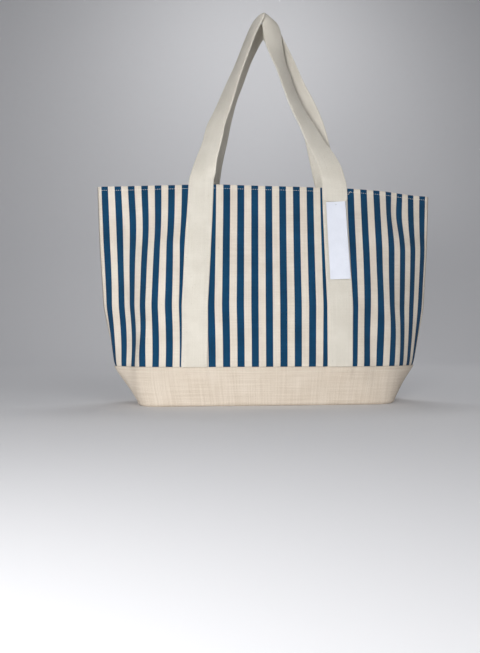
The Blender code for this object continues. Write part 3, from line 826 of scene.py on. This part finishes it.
# ---- stitching -----------------------------------------------------------------------
def stitch_mesh(name, starts, ends, outs, material, radius=THREAD_RADIUS):
    """Short rounded threads from starts to ends, half sunk in the cloth that faces `outs`."""
    middle = (starts + ends) / 2
    along = unit(ends - starts)
    reach = np.linalg.norm(ends - starts, axis=1) / 2
    side = unit(np.cross(along, outs))
    up = np.cross(side, along)
    sides = 6
    angle = np.arange(sides) * 2 * math.pi / sides
    rings = ((-1.0, 0.0), (-0.62, 0.92), (0.62, 0.92), (1.0, 0.0))
    verts = []
    for place, width in rings:
        sunk = up * (radius * 0.25) - up * (radius * 0.9 * (1.0 - width))
        centre = middle + along * (reach * place)[:, None] + sunk
        if width == 0.0:
            verts.append(centre[:, None])
            continue
        turn = (side[:, None] * np.cos(angle)[None, :, None]
                + up[:, None] * np.sin(angle)[None, :, None])
        verts.append(centre[:, None] + turn * radius * width)
    verts = np.concatenate(verts, axis=1)
    per = verts.shape[1]
    shape = []
    for i in range(sides):
        j = (i + 1) % sides
        shape.append((0, 1 + j, 1 + i))
        shape.append((1 + i, 1 + j, 1 + sides + j, 1 + sides + i))
        shape.append((1 + sides + i, 1 + sides + j, per - 1))
    faces = [tuple(base + k for k in face)
             for base in range(0, per * len(verts), per) for face in shape]
    made = link_mesh(name, verts, faces, None, material)
    return made


def dashes(length):
    """Start and end distances of stitches along a seam of that length."""
    start = np.arange(int(length / STITCH_PITCH)) * STITCH_PITCH
    return start, start + STITCH_LENGTH


def seam_across(name, face, s_low, s_high, z, lift, material):
    """A row of stitches along the mouth or the band, following the cloth's outer face."""
    start, end = dashes(s_high - s_low)
    start, end = start + s_low, end + s_low
    a = on_cloth(face, start, z, lift(start, z))
    b = on_cloth(face, end, z, lift(end, z))
    out = unit(on_cloth(face, (start + end) / 2, z, 0.01) - on_cloth(face, (start + end) / 2, z, 0))
    return stitch_mesh(name, a, b, out, material)


def add_body_stitching(face, thread):
    margin = 0.004
    left, right = (float(strap_centre(side, HEM_STITCH_Z)) for side in STRAP_LINES)
    spans = ((-PANEL_HALF + margin, left - STRAP_HALF), (left + STRAP_HALF, right - STRAP_HALF),
             (right + STRAP_HALF, PANEL_HALF - margin))
    rows = []
    for i, (low, high) in enumerate(spans):
        rows.append(seam_across(f"{face}_hem_stitches_{i}", face, low, high, HEM_STITCH_Z,
                                lambda s, z: np.full(np.shape(s), -0.00012), thread))
    band = seam_across(f"{face}_band_stitches", face, -PANEL_HALF + margin, PANEL_HALF - margin,
                       BAND_STITCH_Z, lambda s, z: band_offset(s, z) + 0.0002, thread)
    hem = join(f"{face}_hem_stitches", rows)
    for piece, node in ((hem, "hem"), (band, "base")):
        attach(piece, "bag")
        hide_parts(f"{face}_{node}_stitching")


def line_stitches(name, line, outs, material):
    """Stitches along a line of points, with an outward direction at each point."""
    length = np.concatenate(([0.0], np.cumsum(np.linalg.norm(np.diff(line, axis=0), axis=1))))
    start, end = dashes(length[-1])

    def at(distance, values):
        return np.stack([np.interp(distance, length, values[:, k]) for k in range(3)], 1)

    return stitch_mesh(name, at(start, line), at(end, line), unit(at(start, outs)), material)


def add_strap_stitching(face, thread):
    """Rows near both edges of every run, on the outside, and on the inside of the free run."""
    edges = np.array((-0.86, 0.86))
    surface_out = np.full(2, STRAP_THICK / 2 * 0.86)
    outer = strap_runs(face, edges, surface_out)[0]
    above = strap_runs(face, edges, surface_out + 0.002)[0]
    inner = strap_runs(face, edges, -surface_out)[0]
    visible = outer[:, 0, 2] > BAND_TOP + 0.001
    free = outer[:, 0, 2] > HEIGHT + 0.004
    rows = []
    for k in (0, 1):
        rows.append(line_stitches(f"row_{k}", outer[visible, k],
                                  (above - outer)[visible, k], thread))
        rows.append(line_stitches(f"back_row_{k}", inner[free, k],
                                  (inner - above)[free, k], thread))
    handle = join(f"{face}_handle_stitches", rows)
    bend_over_mouth(handle)
    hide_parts(f"{face}_left_strap_inner_stitching",
                f"{face}_left_strap_outer_stitching")

    heights = spaced(BAND_TOP + 0.001, HEIGHT - TAB_DROP - 0.001, 0.003)
    lower = sewn_points(face, "right", heights, edges, surface_out, STRAP_MIDDLE)
    raised = sewn_points(face, "right", heights, edges, surface_out + 0.002, STRAP_MIDDLE)
    rows = [line_stitches(f"leg_{k}", lower[:, k], (raised - lower)[:, k], thread)
            for k in (0, 1)]
    leg = join(f"{face}_right_leg_stitches", rows)
    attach(leg, "bag")
    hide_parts(f"{face}_right_strap_inner_stitching",
                f"{face}_right_strap_outer_stitching")


def add_mouth_tacks(face, thread):
    """The row that crosses the left strap at the hem, and the marks that close the tab."""
    left, right = (float(strap_centre(side, HEM_STITCH_Z)) for side in STRAP_LINES)
    reach = STRAP_HALF - 0.004
    top = STRAP_LIFT + STRAP_THICK * 0.98
    cross = seam_across(f"{face}_left_mouth_stitches", face, left - reach, left + reach,
                        HEM_STITCH_Z,
                        lambda s, z: np.full(np.shape(s), top), thread)
    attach(cross, "bag")
    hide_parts(f"{face}_left_strap_top_stitching")
    over = STRAP_LIFT + STRAP_THICK * 1.98 + LAP_LIFT
    for row, drop in (("upper", 0.0035), ("lower", 0.0115)):
        s = np.arange(right - reach, right + reach, 0.0030)
        z = HEIGHT - drop
        a = on_cloth(face, s, z - 0.0012, over)
        b = on_cloth(face, s, z + 0.0012, over)
        out = unit(on_cloth(face, s, z, over + 0.01) - on_cloth(face, s, z, over))
        ticks = stitch_mesh(f"{face}_tab_{row}_tacks", a, b, out, thread, THREAD_RADIUS * 0.9)
        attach(ticks, "bag")
        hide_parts(f"{face}_tab_{row}_stitching")


# ---- side seams ----------------------------------------------------------------------
def add_side_seam(side, canvas, thread):
    """The turnings inside a side seam: two plies standing inward, edged with thread."""
    sign = 1 if side == "right" else -1
    z = spaced(BAND_TOP - 0.010, HEIGHT - 0.0120, 0.004)
    root = on_cloth("front", sign * PANEL_HALF, z, -CANVAS * 1.4)
    depth = 0.0090 + 0.0006 * np.sin(90 * z)
    lean = 0.0004 * np.sin(55 * z + sign)
    ply = 0.0008
    section = ((0.0, 1.0), (0.35, 1.0), (0.75, 1.0), (0.97, 0.9), (1.0, 0.0), (0.97, -0.9),
               (0.75, -1.0), (0.35, -1.0), (0.0, -1.0))
    points = np.empty((len(section), len(z), 3))
    for k, (inward, thick) in enumerate(section):
        points[k, :, 0] = root[:, 0] - sign * depth * inward
        points[k, :, 1] = root[:, 1] + lean * inward ** 2 + ply * thick * (0.55 + 0.45 * inward)
        points[k, :, 2] = z
    u = np.repeat(np.linspace(0.0, 0.022, len(section) + 1)[:, None], len(z), axis=1)
    v = np.repeat(z[None, :], len(section) + 1, axis=0)
    seam = swept_mesh(f"{side}_seam_turnings", points, u, v, canvas, flip=sign > 0)
    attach(seam, "bag")
    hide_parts(f"{side}_side_seam")
    zig_z = np.arange(z[0] + 0.002, z[-1] - 0.002, 0.0022)
    rows = []
    for face_side in (1, -1):
        tip = np.stack([np.interp(zig_z, z, points[4, :, k]) for k in range(3)], 1)
        start = tip + np.array((sign * 0.0006, face_side * ply * 0.8, 0.0))
        end = tip + np.array((sign * 0.0042, face_side * ply * 0.95, 0.0011))
        out = np.repeat(np.array(((0.0, float(face_side), 0.0),)), len(tip), axis=0)
        rows.append(stitch_mesh(f"zigzag_{face_side}", start, end, out, thread, 0.00022))
    zigzag = join(f"{side}_seam_overlock", rows)
    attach(zigzag, "bag")


# ---- hang tag ------------------------------------------------------------------------
def add_tag(card, plastic):
    """Two plies of card with a punched hole, slightly curled, on a small plastic stud."""
    low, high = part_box("hang_tag")
    centre = (low.x + high.x) / 2
    width = high.x - low.x
    top = np.array((centre, high.y - 0.0002, high.z))
    down = unit(np.array((0.0, low.y - high.y + 0.0004, low.z - high.z)))
    out = np.array((0.0, down[2], -down[1]))
    length = math.hypot(low.y - high.y, low.z - high.z)
    plies = []
    for layer, (shift, spread, lift) in enumerate(((0.0, 0.0, 0.0), (0.0008, 0.0012, -0.0007))):
        plies.append(tag_ply(f"ply_{layer}", top, down, out, width, length, shift, spread,
                             lift, card))
    tag = join("hang_tag_card", plies, smooth=False)
    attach(tag, "tag")
    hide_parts("hang_tag")
    add_stud(top + down * TAG_HOLE_DROP, down, out, plastic)


def tag_ply(name, top, down, out, width, length, shift, spread, lift, card):
    """One ply: rings grow from the hole's rim to the card's outline above, plain rows below."""
    sides = 32
    half = width / 2 - 0.0003
    low = 2 * TAG_HOLE_DROP
    corner = math.atan2(TAG_HOLE_DROP, half)
    corners = (corner, math.pi - corner, math.pi + corner, 2 * math.pi - corner)
    angle = np.sort(np.concatenate((np.arange(sides) * 2 * math.pi / sides, corners)))
    sides = len(angle)
    rim = np.stack((np.cos(angle), np.sin(angle)), 1)
    stretch = np.maximum(np.abs(rim[:, 0]) / half, np.abs(rim[:, 1]) / TAG_HOLE_DROP)
    square = rim / stretch[:, None]
    rings = []
    for share in (0.0, 0.12, 0.4, 0.7, 1.0):
        rings.append(rim * TAG_HOLE_RADIUS * (1 - share) + square * share)
    flat = [ring + (0.0, TAG_HOLE_DROP) for ring in rings]
    points = np.concatenate(flat)
    faces = []
    for k in range(len(rings) - 1):
        for i in range(sides):
            j = (i + 1) % sides
            faces.append((k * sides + i, k * sides + j, (k + 1) * sides + j, (k + 1) * sides + i))
    edge = [i for i in range(sides) if abs(square[i, 1] - TAG_HOLE_DROP) < 1e-9]
    edge = sorted(edge, key=lambda i: square[i, 0])
    above = [(len(rings) - 1) * sides + i for i in edge]
    columns = points[above, 0]
    for drop in np.linspace(low, length, 26)[1:]:
        base = len(points)
        points = np.concatenate((points, np.stack((columns, np.full(len(columns), drop)), 1)))
        row = list(range(base, base + len(columns)))
        for i in range(len(row) - 1):
            faces.append((above[i], row[i], row[i + 1], above[i + 1]))
        above = row
    curl = 0.0016 * (points[:, 1] / length) ** 2 + 0.0004 * (points[:, 0] / half) ** 2
    share = points[:, 1] / length
    side = unit(np.array((1.0, 0.0, 0.0)) + out * TAG_YAW)
    place = (top + side * (points[:, :1] + shift + spread * share[:, None])
             + down * points[:, 1:] - out * (0.0009 - curl)[:, None] + out * lift)
    count = len(place)
    verts = np.concatenate((place + out * TAG_PLY / 2, place - out * TAG_PLY / 2))
    skin = faces + [tuple(count + i for i in reversed(face)) for face in faces]
    face_edges = [(a, b) for face in faces for a, b in zip(face, face[1:] + face[:1])]
    shared = set(face_edges)
    skin += [(b, a, count + a, count + b) for a, b in face_edges if (b, a) not in shared]
    return link_mesh(name, verts, skin, None, card, smooth=False)


def add_stud(hole, down, out, plastic):
    """A turned stud: a thin shaft through the hole and a small domed head."""
    profile = ((-0.0042, 0.0), (-0.0042, 0.0004), (0.0, 0.0004), (0.0003, 0.0004),
               (0.0003, 0.0013), (0.0005, 0.0014), (0.0008, 0.00125), (0.0011, 0.0008),
               (0.0012, 0.0))
    side = np.array((1.0, 0.0, 0.0))
    sides = 20
    angle = np.arange(sides) * 2 * math.pi / sides
    rings = []
    for along, radius in profile:
        turn = side * np.cos(angle)[:, None] + down * np.sin(angle)[:, None]
        rings.append(hole + out * (along - 0.0002) + turn * max(radius, 0.00001))
    points = np.array(rings)
    index, _, _ = grid_faces(len(profile), sides, close_columns=True)
    faces = index.tolist() + [list(range(sides))[::-1],
                              list(range((len(profile) - 1) * sides, len(profile) * sides))]
    stud = link_mesh("tag_stud_pin", points, faces, None, plastic)
    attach(stud, "tag_stud")
    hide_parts("tag_fastener")


# ---- loose thread --------------------------------------------------------------------
def add_thread_tail(thread):
    """A short end of thread left at the right strap's hem."""
    edge = strap_centre("right", HEIGHT) + STRAP_HALF
    s = edge + np.array((-0.001, 0.001, 0.003, 0.0045, 0.006, 0.0075))
    z = HEM_STITCH_Z + np.array((-0.0035, -0.0042, -0.0036, -0.0010, 0.0008, 0.0006))
    line = smooth_line(on_cloth("front", s, z, 0.0006), 24)
    tangent = unit(np.gradient(line, axis=0))
    side = unit(np.cross(tangent, np.array((0.0, 1.0, 0.0))))
    up = np.cross(side, tangent)
    sides = 7
    angle = np.arange(sides) * 2 * math.pi / sides
    radius = 0.0003
    points = line[None] + radius * (side[None] * np.cos(angle)[:, None, None]
                                    + up[None] * np.sin(angle)[:, None, None])
    index, _, _ = grid_faces(sides, len(line), close_rows=True)
    ends = [[r * len(line) + c for r in range(sides)][::order]
            for c, order in ((0, 1), (len(line) - 1, -1))]
    tail = link_mesh("hem_thread_end", points, index.tolist() + ends, None, thread)
    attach(tail, "bag")


# ---- make it all ---------------------------------------------------------------------
bpy.context.scene.view_settings.view_transform = "Standard"
add_camera()
add_lights()
add_stage()

STRIPED = canvas_material("striped_cotton", (0.76, 0.695, 0.60), (0.65, 0.58, 0.49),
                          stripes=(0.0045, 0.054, 0.130))
NATURAL = canvas_material("natural_cotton", (0.745, 0.66, 0.56), (0.60, 0.51, 0.41),
                          yarn=0.0012, streak=0.75, depth=0.0003)
STRAP = canvas_material("strap_cotton", (0.74, 0.70, 0.62), (0.65, 0.61, 0.53), yarn=0.0009)
THREAD = thread_material("cotton_thread", (0.83, 0.78, 0.68))
CARD = card_material()
PLASTIC = plastic_material()

for face_name in FACES:
    add_panel(face_name, STRIPED)
add_base(NATURAL)
for face_name in FACES:
    add_straps(face_name, STRAP)
    add_body_stitching(face_name, THREAD)
    add_strap_stitching(face_name, THREAD)
    add_mouth_tacks(face_name, THREAD)
for side_name in ("left", "right"):
    add_side_seam(side_name, NATURAL, THREAD)
add_tag(CARD, PLASTIC)
add_thread_tail(THREAD)
